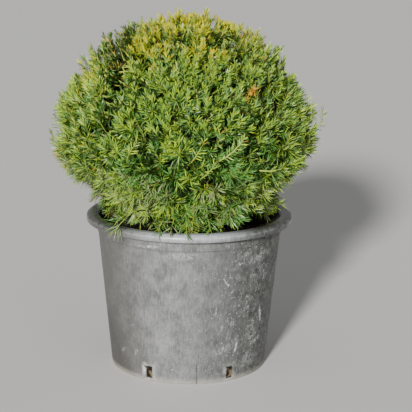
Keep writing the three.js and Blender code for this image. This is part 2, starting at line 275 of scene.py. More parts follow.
def shadeBark(node):
    # Thin flaking bark: long plates of red brown with paler lifted edges, rough enough to stay dull.
    place = node("TexCoord", out="Object")
    stretched = node("Mapping", {"Vector": place, "Scale": (150, 150, 45)})
    plates = node("TexNoise", {"Vector": stretched, "Scale": 1.0, "Detail": 6.0})
    stops = [(0.3, limbLook["barkDark"]), (0.5, limbLook["barkMid"]), (0.72, limbLook["barkPale"])]
    colour = node("ValToRGB", [plates], stops=stops)
    bump = node("Bump", {"Height": plates, "Strength": 0.6, "Distance": 0.001})
    return {"Base Color": colour, "Normal": bump, "Roughness": 0.9, "Specular IOR Level": 0.25}


def plainMaterial(name, colour, roughness, specular=0.5):
    # One flat colour, for pieces of very many small faces, where the faces themselves make the texture.
    finish = {"Base Color": linear(colour), "Roughness": roughness, "Specular IOR Level": specular}
    return newMaterial(name, lambda node: finish)


def massSpaces():
    # The seven masses: their middle ways and the inward normals of the planes between them.
    count = seams["round"]
    azimuths = seams["first"] + 360 / count * np.arange(count)
    high, low = wayAt(azimuths, seams["top"]), wayAt(azimuths, seams["foot"])
    pairs = [(i, (i + 1) % count) for i in range(count)]
    groups = [high] + [np.array([high[i], high[j], low[j], low[i]]) for i, j in pairs]
    spaces = []
    for corners in groups:
        middle = unit(corners.sum(0))
        normals = unit(np.cross(corners, np.roll(corners, -1, axis=0)))
        spaces.append((middle, normals * np.sign(normals @ middle)[:, None]))
    return spaces


spaces = massSpaces()
middles = np.array([middle for middle, normals in spaces])


def massOf(ways):
    # The mass whose planes hold a way furthest inside.
    inside = [np.min(ways @ normals.T, axis=-1) for middle, normals in spaces]
    return np.argmax(inside, axis=0)


# Boughs arch from the trunk to the masses, and stems go on to the hubs where twigs branch.
heights = np.array([1.0] + [bough["lowest"], bough["highest"]] * 3)
boughRoots = trunkFoot + (trunkTop - trunkFoot) * heights[:, None]
boughTips = onCrown(middles, core["inner"], bough["stop"])
boughSpans = np.linalg.norm(boughTips - boughRoots, axis=-1)[:, None]
boughBends = (boughRoots + boughTips) / 2 + up * bough["arch"] * boughSpans
hubs = onCrown(middles, (core["inner"] + core["outer"]) / 2)


def relief(paths, seed):
    # Bark's height in mm over the rings and sides: a few long waves along the limb, sharper round it.
    steps = np.arange(paths.shape[1])[None, :, None]
    side = fullTurn(limbLook["sides"])
    which = np.arange(len(paths))[:, None, None] + seed
    bumps = np.sin(3 * side + 0.21 * steps + 5 * chance(which, 1))
    bumps = bumps * np.sin(0.37 * steps + 6 * chance(which, 2))
    bumps = bumps + 0.7 * np.sin(7 * side - 0.33 * steps + 6 * chance(which, 3))
    bumps = bumps + 0.5 * np.abs(np.sin(11 * side + 0.9 * steps)) - 0.4
    return limbLook["reliefMm"] * 0.5 * bumps


def makeWood():
    shares = np.linspace(0, 1, limbLook["rings"])
    bend = trunkFoot + up * trunkShape["bend"]
    path = bezier(trunkFoot[None], bend[None], trunkTop[None], shares)
    angle = fullTurn(limbLook["sides"])
    flare = trunkShape["flare"] * np.exp(-shares * trunkShape["height"] / trunkShape["flareHeight"])
    flare = flare[:, None] * (0.75 + 0.25 * np.cos(5 * angle))
    slim = (trunkShape["foot"] - trunkShape["taper"] * shares)[None, :, None]
    radii = slim + flare[None] + relief(path, 50)
    points, *faces = tubes(path, radii, limbLook["sides"])
    wood = newMaterial("yew bark, thin and flaking", shadeBark)
    piece = buildMesh("trunk_bark", points, faces, [wood], smooth=True)
    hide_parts("trunk")
    paths = bezier(boughRoots, boughBends, boughTips, shares)
    onward = unit(boughTips - boughBends)
    enter = boughTips + onward * np.linalg.norm(hubs - boughTips, axis=-1)[:, None] / 2
    stems = bezier(boughTips, enter, hubs, np.linspace(0, 1, stemShape["rings"])[1:])
    paths = np.hstack([paths, stems])
    thinner = np.linspace(stemShape["foot"], stemShape["tip"], stemShape["rings"] - 1)
    taper = np.hstack([bough["root"] + (bough["tip"] - bough["root"]) * shares, thinner])
    radii = taper[None, :, None] + 0.6 * relief(paths, 10)
    points, *faces = tubes(paths, radii, limbLook["sides"])
    piece = buildMesh("boughs_bark", points, faces, [wood], smooth=True)
    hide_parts(*["bough_" + name.removeprefix("foliage_") for name in masses])


makeWood()
print("scene: trunk and boughs made")

# Foliage. Each of the part's twigs bears a tuft of finer shoots, and each shoot its needles.
foliage = {
    "twigs": 264,
    "sink": 8,
    "shootsPerTwig": 12,
    "innerShoots": 7,  # more on each twig that end deep inside, where all is shade
    "innerDepth": (34, 70),  # mm below the outline
    "tuftSpread": 0.135,  # radians from the twig's way to its outermost shoot
    "tuftDrop": 24,  # mm that a whole tuft may lie under the outline
    "domeDrop": 9,  # mm that a tuft's outer shoots lie under its middle one
    "clip": 15,  # mm that one shoot may lie under its tuft
    "bare": (9, 22),  # mm of a hollow's depth at which shoots begin to be missing, and at which all are
    "cover": 30,  # mm of foliage over the twigs at least
    "tipDepth": 9,  # mm from a shoot's end to the outline, which its last needles reach
    "needles": 42,
    "leafy": (35, 53),  # mm of a shoot that bear needles, at the top and in the skirt
    "needleLength": (12.2, 21.5),
    "needleWidth": 2.1,
    "needleThickness": 0.45,
    "piece": 45000,  # needles joined in one piece at most
    "numbers": 20,  # numbers for the hash that a twig's shoots may take
    "keepOut": [((159, 187), (265, 281.5)), ((159, 169), (0, 281))],  # radius and height of rim and wall
    "lowest": 252,  # mm that a needle may reach down
}
# Roughness and specular level of the needles' topsides.
needleShine = {"shade": (0.6, 0.15), "deep": (0.5, 0.3), "yellow": (0.5, 0.2), "other": (0.36, 0.6)}
# Waxy topside and matt underside of six kinds from the shaded inside to sunlit tips, then of four others.
needleColours = {
    "shade": ("#1d2f04", "#304209"),
    "deep": ("#33520b", "#516a21"),
    "mid": ("#53803c", "#74945a"),
    "fresh": ("#7ba54c", "#96b462"),
    "young": ("#a6c534", "#b5ce46"),
    "yellow": ("#d0c614", "#d0ca24"),
    "lush": ("#5f9640", "#89af62"),
    "olive": ("#919f66", "#a6b284"),
    "brown": ("#9c7e32", "#a48a48"),
    "dead": ("#eab03c", "#dcae50"),
}
kinds = list(needleColours)
# Places with painted shade and older dark foliage, or with painted light and more young growth: azimuth,
# elevation, reach in degrees, and how many steps the needles there move down or up the scale of kinds.
patches = [
    (-72, 52, 11, -2.6), (-99, 51, 13, -2.4), (-93, 63, 8, -2.0), (-104, 39, 7, -1.0),
    (-38, 51, 6, 1.0), (-64, 27, 11, 1.0), (50, 61, 7, -2.6), (26, 62, 6, 1.0), (-29, -15, 6, -1.3),
    (-30, 57, 7, 0.8), (16, 50, 8, 0.9), (30, 17, 5, -1.6), (-12, -19, 6, -1.8), (16, -14, 5, -1.7),
    (9, -1, 5, -0.9), (-23, 5, 5, -0.8), (-36, -21, 11, 1.7), (-28, -37, 7, 1.6), (-4, 6, 7, 1.1),
    (13, 45, 6, 1.1), (22, -8, 5, 1.2), (30, 36, 8, 1.1), (-38, 3, 6, 0.9), (42, 12, 7, 0.6),
    (43, 27, 5, 1.2), (-27, 40, 8, 0.8), (19, 61, 5, 0.8),
]
# Long young shoots that lie over the surface: azimuth and elevation of their foot and of their tip.
longShoots = [
    (1.6, -4.3, 8.4, 8.2), (15.3, -1.2, 24.1, 8.4), (5.9, -12.6, 13.0, -0.2), (14.0, 3.1, 15.2, 10.7),
    (36.1, -7.2, 48.7, -5.8), (-27.0, -6.0, -22.0, 6.0),
]
# Sprays that hang over the pot's rim: azimuth, then level and height in mm of foot, bend and tip.
rimSprays = [
    (-40, (132, 306), (172, 300), (196, 276)), (-44, (130, 304), (170, 299), (188, 279)),
    (-16, (140, 300), (166, 300), (182, 285)), (-9, (140, 304), (166, 305), (182, 283)),
    (-1, (140, 304), (168, 303), (184, 282)), (12, (140, 304), (166, 305), (180, 286)),
    (128, (136, 308), (170, 303), (190, 281)), (170, (136, 308), (168, 304), (183, 284)),
    (-112, (134, 308), (170, 304), (188, 282)),
]


def tangents(ways):
    # Two unit vectors across each way, the first level.
    across = unit(np.cross(np.broadcast_to(up, ways.shape), ways))
    return across, np.cross(ways, across)


def insideMouth(points):
    # What reaches below the rim is drawn in towards the pot's axis, to clear the wall.
    level = np.maximum(np.hypot(points[:, 0], points[:, 1]), 1e-6)
    share = np.where(points[:, 2] < potShape["height"] + 5, np.minimum(1, potShape["mouth"] / level), 1)
    return points * np.stack([share, share, np.ones(len(share))], -1)


def graded(pair, height):
    # From the pair's first value at the top of the crown to its second in the skirt.
    return pair[1] + (pair[0] - pair[1]) * np.clip((height + 0.25) / 0.9, 0, 1)


def underSurface(points, depth):
    # Limbs that would lie bare in a hollow are drawn in, to this depth under the clipped surface and
    # deeper by most of the hollow's own depth.
    ways = unit(points - heart)
    reach = np.minimum(np.linalg.norm(points - heart, axis=-1), crownRadius(ways) - depth - 0.8 * dips(ways))
    return heart + ways * reach[..., None]


def growShoots():
    # The part's twigs, hub to node, then their finer shoots: where each starts, bends and ends.
    ways = evenWays(foliage["twigs"])
    number = np.arange(foliage["twigs"])
    kept = ways[:, 2] > math.sin(seams["foot"] * deg)
    ways, number = ways[kept], number[kept]
    nodes = onCrown(ways, core["outer"], foliage["sink"])
    hub = hubs[massOf(ways)]
    outer = foliage["shootsPerTwig"]
    per = outer + foliage["innerShoots"]
    k = np.tile(np.arange(per), len(ways))
    twig = np.repeat(np.arange(len(ways)), per)
    item = number[twig] * foliage["numbers"] + k
    inside = k >= outer
    across, along = tangents(ways[twig])
    turn = k * goldenAngle + 2 * math.pi * chance(number[twig], 11)
    out = np.sqrt((k % outer + 0.3 * chance(item, 12)) / outer) * np.where(inside, 1.8, 1)
    aside = across * np.cos(turn)[:, None] + along * np.sin(turn)[:, None]
    aside = foliage["tuftSpread"] * out[:, None] * aside
    tipWays = unit(ways[twig] + aside)
    height = tipWays[:, 2]
    drop = foliage["tuftDrop"] * chance(number[twig], 13) ** 2.2 + foliage["clip"] * chance(item, 14)
    drop = drop + foliage["domeDrop"] * out**2
    shallow, deep = foliage["innerDepth"]
    dip = dips(tipWays)
    drop = np.where(inside, np.maximum(shallow + (deep - shallow) * chance(item, 19) - 0.5 * dip, 6), drop)
    tips = insideMouth(heart + tipWays * (crownRadius(tipWays) - foliage["tipDepth"] - drop)[:, None])
    lift = np.interp(height, [-1, -0.75, -0.5, -0.2, 0.4, 1], [-0.6, -0.4, 0.3, 1.1, 1.1, 0.5])
    sway = (1.1 + 0.9 * (height < 0.1))[:, None] * (chance(item, 15) - 0.5)[:, None] * across
    sway = sway + 0.9 * (chance(item, 16) - 0.5)[:, None] * along
    growth = unit(tipWays + lift[:, None] * up + sway + 2.0 * aside)
    share = np.where(k == 0, 1.0, 0.7 + 0.28 * chance(item, 17))
    starts = underSurface(hub[twig] + (nodes[twig] - hub[twig]) * share[:, None], foliage["cover"])
    bends = tips - growth * (0.6 * np.linalg.norm(tips - starts, axis=-1))[:, None]
    twigs = underSurface(bezier(hub, (hub + nodes) / 2, nodes, np.linspace(0, 1, 6)), foliage["cover"])
    # A shoot's drop counts its hollow's depth 2.6 times over, so that needles in hollows take darker colours:
    # painted shade.
    shoots = {
        "ways": tipWays, "item": item, "drop": drop + 2.6 * dip, "kind": np.zeros(len(item)),
        "starts": starts, "bends": bends, "tips": tips, "flat": np.clip(0.35 - 1.2 * height, 0, 1),
        "leafy": graded(foliage["leafy"], height), "length": graded(foliage["needleLength"], height),
    }
    first, last = foliage["bare"]
    grown = inside | (chance(item, 18) >= np.clip((dip - first) / (last - first), 0, 1))
    return twigs, {key: value[grown] for key, value in shoots.items()}


def placedShoots(first, kind, ways, curves, leafy, length, flat):
    # Shoots with places of their own. They share their kind, leafy length, needle length and flatness.
    shared = {"kind": kind, "leafy": leafy, "length": length, "flat": flat, "drop": 0.0}
    shoots = {key: np.full(len(ways), value) for key, value in shared.items()}
    shoots["starts"], shoots["bends"], shoots["tips"] = curves
    return {**shoots, "ways": ways, "item": first + np.arange(len(ways))}


def growLongShoots():
    # The long shoots named above, then three times as many by chance round the rest of the lower crown.
    number = np.arange(3 * len(longShoots))
    azimuth = 62 + 256 * (number + 0.5) / len(number) + 8 * (chance(number, 41) - 0.5)
    elevation = -22 + 26 * chance(number, 42)
    swung = azimuth + 16 * (chance(number, 43) - 0.5)
    raised = elevation + 8 + 8 * chance(number, 44)
    spots = np.vstack([longShoots, np.stack([azimuth, elevation, swung, raised], -1)])
    footWays, tipWays = wayAt(spots[:, 0], spots[:, 1]), wayAt(spots[:, 2], spots[:, 3])
    shown = np.arange(len(spots)) < len(longShoots)
    starts, tips = onCrown(footWays, 1.0, 24), onCrown(tipWays, 1.0, 9 - 6 * shown)
    bends = onCrown(unit(footWays * 0.6 + tipWays * 0.4), 1.0, 6 - 12 * shown)
    return placedShoots(7000, 1, tipWays, (starts, bends, tips), leafy=70.0, length=14.0, flat=0.8)


def hangSprays():
    # The sprays over the rim: each place's level distance goes along its azimuth.
    level = wayAt([spray[0] for spray in rimSprays], 0)[:, :2]
    places = np.array([spray[1:] for spray in rimSprays], float).swapaxes(0, 1)
    curves = [np.hstack([level * place[:, :1], place[:, 1:]]) for place in places]
    return placedShoots(8000, 2, unit(curves[2] - heart), curves, leafy=44.0, length=25.0, flat=0.5)


def needleSolids(root, along, top, length, width):
    # Closed needles (N, 4, 3) of four faces: root and tip are joined by a ridge on top, and the two
    # shoulders, lower by the thickness, stand at 0.3 and 0.7 of the length, so that the sides run parallel.
    across = np.cross(along, top)
    outline = [(0.0, 0.0, 0.0), (0.3, -0.5, 1.0), (1.0, 0.0, 0.0), (0.7, 0.5, 1.0)]
    points = [
        root + along * (f * length)[:, None] + across * (s * width)[:, None]
        - top * (low * foliage["needleThickness"])
        for f, s, low in outline
    ]
    faces = np.array([(0, 2, 1), (0, 3, 2), (0, 1, 3), (1, 2, 3)])
    return np.stack(points, 1), faces


def needleNumbers(shoots):
    # Each needle's own number for the hash: 97 times its shoot's, plus its place on the shoot.
    return shoots["item"][:, None] * 97 + np.arange(foliage["needles"])


def growNeedles(shoots):
    # Needles along each shoot's outer part: alternate sides of the shoot, turned up to the light.
    per = foliage["needles"]
    length = np.linalg.norm(shoots["tips"] - shoots["starts"], axis=-1)
    first = 1 - np.minimum(shoots["leafy"] / length, 0.9)
    j = np.arange(per)
    share = (j + 0.5) / per
    t = first[:, None] + (1 - first[:, None]) * share
    a, b, c = (shoots[key][:, None] for key in ("starts", "bends", "tips"))
    s = t[..., None]
    root = (1 - s) ** 2 * a + 2 * s * (1 - s) * b + s**2 * c
    stem = unit(2 * (1 - s) * (b - a) + 2 * s * (c - b))
    item = needleNumbers(shoots)
    outward = unit(shoots["ways"] + 0.6 * up)[:, None]
    face = unit(outward - stem * np.sum(outward * stem, -1, keepdims=True) + 1e-3)
    sideways = np.cross(stem, face)
    # In flat sprays the needles stand in two ranks, and on upright shoots all round.
    ranked = shoots["flat"][:, None]
    turn = np.where(j % 2 == 0, 0.3, math.pi - 0.3) + (chance(item, 1) - 0.5) * (0.9 + 5.4 * (1 - ranked))
    aside = sideways * np.cos(turn)[..., None] + face * np.sin(turn)[..., None]
    spread = (44 + 18 * ranked - 24 * share**2 + 18 * (chance(item, 2) - 0.5)) * deg
    along = unit(stem * np.cos(spread)[..., None] + aside * np.sin(spread)[..., None])
    top = outward + 0.9 * face + 0.8 * (chance(item, 3) - 0.5)[..., None] * sideways
    top = unit(top - along * np.sum(top * along, -1, keepdims=True))
    size = shoots["length"][:, None] * (0.62 + 0.38 * np.sin(math.pi * (0.15 + 0.75 * share)))
    size = size * (0.8 + 0.4 * chance(item, 4))
    # They are slimmer low down and on top, and broader deep inside.
    slim = np.interp(shoots["ways"][:, 2], [-0.5, 0, 0.4, 1], [0.72, 1, 0.96, 0.85])
    slim = slim * np.where(shoots["drop"] > 32, 1.5, 1)
    width = foliage["needleWidth"] * (0.85 + 0.3 * chance(item, 5)) * slim[:, None]
    return root, along, top, size, width, share


def patchLight(ways):
    # The patches' steps along each way: a bell round each patch's middle, summed.
    total = np.zeros(len(ways))
    for azimuth, elevation, reach, change in patches:
        away = np.arccos(np.clip(ways @ wayAt(azimuth, elevation), -1, 1)) / (reach * deg)
        total += change * np.exp(-(away**2))
    return total


def dealColours(shoots, share):
    # Each spray has one place on the scale from shade to yellow, by its height, side and depth, the patches
    # and crossed waves, and its inner needles lie further down it. The scale is painted light and shade:
    # high sprays and those on the left are painted lighter, deep ones darker. Some then take the other
    # colours.
    ways, item, drop, group = (shoots[key] for key in ("ways", "item", "drop", "kind"))
    x, y, z = ways.T
    height = (z + 0.6) / 1.6
    left = -x
    # Painted light and shade: lighter higher up and to the left, where the light falls, darker with depth.
    light = np.interp(z, [-0.6, -0.25, 0.1, 0.5, 1], [2.95, 2.85, 2.6, 2.85, 3.6])
    light = light + (0.15 + 0.9 * np.clip(z, 0, 0.6) * (left > 0)) * left
    light = light + 1.1 * (chance(item, 21) - 0.5) - 0.05 * np.clip(drop, 0, None)
    light = light - 0.2 * (group == 1) - 0.8 * (group == 2)
    glow = patchLight(ways)
    light = light + glow + 0.5 * np.sin(7 * x + 3 * z) * np.sin(9 * z - 4 * y)
    needle = needleNumbers(shoots)
    mixed = np.interp(z, [-0.5, -0.1], [6.5, 4.8])[:, None]
    grade = light[:, None] + 2.4 * (share - 0.5) + mixed * (chance(needle, 22) - 0.5)
    sunny = (height + 0.1 * np.clip(left, 0, 0.5) + 0.45 * np.clip(left - 0.55, 0, 0.3))[:, None]
    most = 4 + (sunny > 0.87)
    kind = np.round(np.clip(grade, 0, most)).astype(int)
    # Whole tufts of the shaded lower crown are a bluer green, and so is one place on the right.
    tuft = item // foliage["numbers"]
    lush = (np.abs(z + 0.25) < 0.43) & (np.abs(left) < 0.8)
    lush &= (glow < 0.4) & (chance(tuft, 26) < 0.27)
    lush |= np.sum(ways * wayAt(27, -9), -1) > math.cos(8 * deg)
    kind = np.where(lush[:, None] & (kind > 1) & (chance(needle, 27) < 0.75), kinds.index("lush"), kind)
    # Some outer sprays low down are olive, more of them on the left and where the patches are lightest, and
    # sunlit ends at the top yellow.
    olive = 0.25 + 0.3 * (left > 0.2) + 0.15 * (z < -0.35) + 0.3 * (glow > 0.8)
    low = (z < -0.15) & (drop < 34) & (chance(item, 23) < olive)
    kind = np.where(low[:, None] & (share > 0.25) & (chance(needle, 25) < 0.45), kinds.index("olive"), kind)
    gilded = 0.5 * np.interp(sunny, [0.8, 0.95], [0, 1]) * (glow > -0.5)[:, None]
    gilded = gilded * (share > 0.45) * (drop[:, None] < 24)
    kind = np.where(chance(needle, 28) < gilded, kinds.index("yellow"), kind)
    # Clipped ends are brown here and there, and one sprig is dead.
    clipped = (0.006 + 0.11 * (height[:, None] > 0.78) + 0.05 * (left[:, None] > 0.6)) * (share > 0.6)
    kind = np.where(chance(needle, 24) < clipped, kinds.index("brown"), kind)
    dead = np.sum(ways * wayAt(37.5, 29), -1) > math.cos(2.5 * deg)
    return np.where((dead & (group == 0))[:, None], kinds.index("dead"), kind)


def makeFoliage():
    twigPaths, tufts = growShoots()
    brownTwig = plainMaterial("yew twig, brown", limbLook["twig"], 0.8, 0.3)
    greenTwig = plainMaterial("yew shoot, this year's green wood", limbLook["twigGreen"], 0.7, 0.3)
    points, *faces = tubes(twigPaths, np.broadcast_to(np.linspace(1.9, 1.1, 6), twigPaths.shape[:2]), 5)
    piece = buildMesh("twigs", points, faces, [brownTwig], smooth=True)
    groups = [tufts, growLongShoots(), hangSprays()]
    every = {key: np.concatenate([some[key] for some in groups]) for key in tufts}
    paths = bezier(every["starts"], every["bends"], every["tips"], np.linspace(0, 1, 5))
    thick = np.where(every["kind"] == 1, 1.15, 0.9)[:, None] * np.linspace(1.1, 0.55, 5)
    points, *faces = tubes(paths, thick, 3)
    piece = buildMesh("shoots", points, faces, [greenTwig])
    root, along, top, size, width, share = growNeedles(every)
    kind = dealColours(every, share)
    sparse = (every["kind"] == 1)[:, None] & (np.arange(foliage["needles"]) % 4 > 1)
    clear = potClear(root, along, size) & ~sparse
    for index, name in enumerate(kinds):
        shine = needleShine.get(name, needleShine["other"])
        topside = plainMaterial(f"yew needle, {name}, waxy topside", needleColours[name][0], *shine)
        underside = plainMaterial(f"yew needle, {name}, matt underside", needleColours[name][1], 0.7, 0.3)
        picked = np.flatnonzero((kind == index) & clear)
        for part, some in enumerate(np.array_split(picked, len(picked) // foliage["piece"] + 1)):
            chosen = [values.reshape(kind.size, -1)[some] for values in (root, along, top)]
            points, faces = needleSolids(*chosen, size.flat[some], width.flat[some])
            faces = (np.arange(len(points))[:, None, None] * 4 + faces).reshape(-1, 3)
            faceMaterial = np.tile([0, 0, 1, 1], len(points))
            sides = [topside, underside]
            piece = buildMesh(f"needles_{name}_{part + 1}", points, [faces], sides, faceMaterial)
            if name == "mid" and part == 0:
                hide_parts(*masses)


def potClear(root, along, size):
    # Needles that would run through the pot's wall or rim, or into the compost, are left out.
    clear = np.ones(root.shape[:2], bool)
    for share in (0.0, 0.5, 1.0):
        place = root + along * (size * share)[..., None]
        level, z = np.hypot(place[..., 0], place[..., 1]), place[..., 2]
        clear &= z > foliage["lowest"]
        for (inner, outer), (foot, head) in foliage["keepOut"]:
            clear &= ~((level > inner) & (level < outer) & (z > foot) & (z < head))
    return clear


makeFoliage()
print("scene: foliage made")

# The pot: a weathered grey nursery container, one turned shape with its drain slots left open.
potLook = {
    "grey": "#797977", "greyDark": "#60625f", "greyPale": "#8e8e8b",
    # Painted shade for both sides and the lip's ends, and a painted highlight for the lip's middle:
    "paintedShadeRight": "#292a26", "paintedShadeLeft": "#4c4a46", "paintedRimHighlight": "#c6cacb", "paintedRimShade": "#454542",
    "scuff": "#c9cac6", "dust": "#b3aea2", "crack": "#2b2c2a",
    "roughness": (0.4, 0.6), "rimGloss": 0.3,
    # x and height of each scuff's middle, its half length and half width in mm, its lean and strength
    "scuffs": [
        (127, 112, 26, 2.8, -3, 1.9), (84, 62, 26, 2.4, 12, 1.4), (119, 66, 13, 5, 60, 1.5),
        (122, 224, 34, 10, 72, 0.7), (104, 238, 22, 6, 50, 0.5), (-68, 252, 22, 3, 84, 1.6),
        (-8, 238, 38, 9, 88, 0.8), (118, 196, 30, 12, 20, 0.4), (-114, 46, 9, 5, 30, 0.5),
        (66, 64, 20, 10, 60, 0.5), (70, 184, 6, 3, 0, 1.4), (76, 168, 5, 3, 30, 1.2),
        (60, 104, 7, 4, 10, 0.6), (112, 84, 34, 14, 10, 0.4), (108, 34, 22, 16, 10, 0.5),
    ],
}


def wallRadius(z):
    return 140 + (z - 4) * 24 / 242


def innerRadius(z):
    return 137.2 + (z - 8) * 24 / 238


def turnedProfile(corners, steps=6):
    # Corners (r, z, rounding) to a smooth profile: each a quadratic curve that starts and ends
    # its rounding away along the sides, with one more point beyond each end to hold the flats flat.
    points, cut = corners[:, :2], corners[:, 2:]
    before, after = unit(np.roll(points, 1, 0) - points), unit(np.roll(points, -1, 0) - points)
    curve = bezier(points + before * cut, points, points + after * cut, np.linspace(0, 1, steps))
    first, last = [(points + side * cut * 1.3)[:, None] for side in (before, after)]
    profile = np.hstack([first, curve, last]).reshape(-1, 2)
    apart = np.linalg.norm(profile - np.roll(profile, 1, 0), axis=-1) > 1e-4
    return profile[apart]


def shadePot(node):
    # Sun-bleached grey polyethylene: fine drip streaks down the wall, pale scuffs and scratches most
    # of all on the right, splash dust at the foot, chalky worn edges, painted shade down both sides
    # and a painted highlight in the middle of the lip.
    place = node("TexCoord", out="Object")
    apart = node("SeparateXYZ", [place])
    x, y, z = apart.node.outputs
    fine = node("Mapping", {"Vector": place, "Rotation": (0, 0.25, 0), "Scale": (380, 380, 70)})
    streaks = node("TexNoise", {"Vector": fine, "Scale": 1.0, "Detail": 5.0, "Roughness": 0.65})
    blotches = node("TexNoise", {"Vector": place, "Scale": 34.0, "Detail": 9.0, "Roughness": 0.7})
    half = node("Math", [streaks, 0.7, 0.15], "MULTIPLY_ADD")
    blend = node("Math", [half, blotches], "ADD")
    tone = node("MapRange", [blend], span=(0.84, 1.16))
    stops = [(0.0, potLook["greyDark"]), (0.5, potLook["grey"]), (1.0, potLook["greyPale"])]
    colour = node("ValToRGB", [tone], stops=stops)
    # The right side is darkened by painted shade and its own mottled dark green grey, and the left by painted
    # shade too, most of all low down.
    edge = node("Math", [blotches, 0.11, -0.055], "MULTIPLY_ADD")
    edge = node("Math", [edge, x], "ADD")
    mottled = node("TexNoise", {"Vector": place, "Scale": 90.0, "Detail": 4.0, "Roughness": 0.6})
    edge = node("Math", [mottled, 0.07, edge], "MULTIPLY_ADD")
    rightShadeMask = node("MapRange", [edge], span=(0.005, 0.165))
    uneven = node("MapRange", [mottled], span=(0.38, 0.62, 1.0, 0.5))
    rightShadeMask = node("Math", [rightShadeMask, uneven], "MULTIPLY")
    left = node("MapRange", [x], span=(-0.045, -0.14, 0.0, 0.75))
    lower = node("MapRange", [z], span=(0.02, 0.13, 1.8, 1.0))
    left = node("Math", [left, lower], "MULTIPLY")
    # Scratches are the thin contour lines of a twisted noise, in patches; specks are its peaks.
    drawn = node("Mapping", {"Vector": place, "Scale": (60, 60, 22)})
    twisted = node("TexNoise", {"Vector": drawn, "Scale": 1.0, "Detail": 3.0, "Distortion": 1.5})
    line = node("Math", [node("Math", [twisted, 0.5], "SUBTRACT")], "ABSOLUTE")
    wisps = node("MapRange", [line], span=(0.0, 0.05, 0.8, 0.0))
    line = node("MapRange", [line], span=(0.0, 0.014, 0.8, 0.0))
    patch = node("TexNoise", {"Vector": place, "Scale": 30.0, "Detail": 3.0})
    side = node("MapRange", [x], span=(-0.05, 0.1, 0.68, 0.6))
    patch = node("Math", [patch, side], "GREATER_THAN")
    speck = node("TexNoise", {"Vector": place, "Scale": 300.0, "Detail": 3.0})
    lowest = node("MapRange", [x], span=(-0.02, 0.1, 0.66, 0.61))
    dots = node("Math", [speck, lowest], "SUBTRACT")
    dots = node("MapRange", [dots], span=(0.0, 0.1, 0.0, 0.55))
    marks = node("Math", [line, patch], "MULTIPLY")
    marks = node("Math", [marks, dots], "MAXIMUM")
    # The front has been rubbed most.
    fewer = node("MapRange", [y], span=(-0.08, 0.02, 1.0, 0.3))
    marks = node("Math", [marks, fewer], "MULTIPLY")
    # The largest scuffs have their own places on the front: soft ovals of wisps, broken up by the specks.
    rubbed = node("MapRange", [speck], span=(0.48, 0.7))
    rubbed = node("Math", [rubbed, wisps], "MAXIMUM")
    for sx, sz, long, wide, lean, strength in potLook["scuffs"]:
        spot = {"Location": (sx * mm, -0.13, sz * mm), "Rotation": (0, lean * deg, 0)}
        spot["Scale"] = (wide * mm, 0.11, long * mm)
        inside = node("Mapping", {"Vector": place, **spot}, vector_type="TEXTURE")
        inside = node("VectorMath", [inside], "LENGTH", out="Value")
        oval = node("MapRange", [inside], span=(0.3, 1.0, strength, 0.0))
        oval = node("Math", [oval, rubbed], "MULTIPLY")
        marks = node("Math", [marks, oval], "MAXIMUM")
    # Splash dust low down, chalky wear along the cut and moulded edges, and on the lip a painted highlight in
    # the middle and painted shade towards both ends.
    low = node("MapRange", [z], span=(0.001, 0.012, 1.3, 0.0))
    dusty = node("Math", [low, blotches], "MULTIPLY")
    wear = node("Attribute", attribute_name="wear", out="Fac")
    grain = node("MapRange", [mottled], span=(0.42, 0.56))
    worn = node("Math", [wear, grain], "MULTIPLY")
    lip = node("MapRange", [z], span=(0.265, 0.277, 0.0, 1.5))
    lip = node("Math", [lip, streaks], "MULTIPLY")
    sideways = node("Math", [x], "ABSOLUTE")
    # A painted highlight in the middle of the lip, and painted shade towards its ends.
    middle = node("MapRange", [sideways], span=(0.04, 0.12, 1.0, 0.0))
    rimShadeEnds = node("Math", [node("Math", [1.0, middle], "SUBTRACT"), lip], "MULTIPLY")
    lip = node("Math", [lip, middle], "MULTIPLY")
    # A short crack runs up from the foot, right of the middle of the front.
    bent = node("Math", [streaks, 0.004, 0.0145], "MULTIPLY_ADD")
    offset = node("Math", [node("Math", [x, bent], "SUBTRACT")], "ABSOLUTE")
    thin = node("MapRange", [offset], span=(0.0004, 0.0016, 0.7, 0.0))
    short = node("MapRange", [z], span=(0.034, 0.048, 1.0, 0.0))
    front = node("Math", [y, -0.12], "LESS_THAN")
    crack = node("Math", [thin, short], "MULTIPLY")
    crack = node("Math", [crack, front], "MULTIPLY")
    # Each layer of colour lies over those before it.
    layers = [(rightShadeMask, "paintedShadeRight"), (left, "paintedShadeLeft"), (marks, "scuff"), (dusty, "dust"), (worn, "scuff")]
    layers += [(rimShadeEnds, "paintedRimShade"), (lip, "paintedRimHighlight"), (crack, "crack")]
    for share, name in layers:
        colour = node("MixRGB", [share, colour, linear(potLook[name])])
    smooth, dull = potLook["roughness"]
    rough = node("MapRange", [blend], span=(0.8, 1.2, smooth, dull))
    rim = node("MapRange", [z], span=(0.262, 0.268, 0.0, potLook["rimGloss"]))
    rough = node("Math", [rough, rim], "SUBTRACT")
    raised = node("Math", [streaks, marks], "SUBTRACT")
    bump = node("Bump", {"Height": raised, "Strength": 0.2, "Distance": 0.0004})
    return {"Base Color": colour, "Roughness": rough, "Normal": bump, "Specular IOR Level": 0.5}


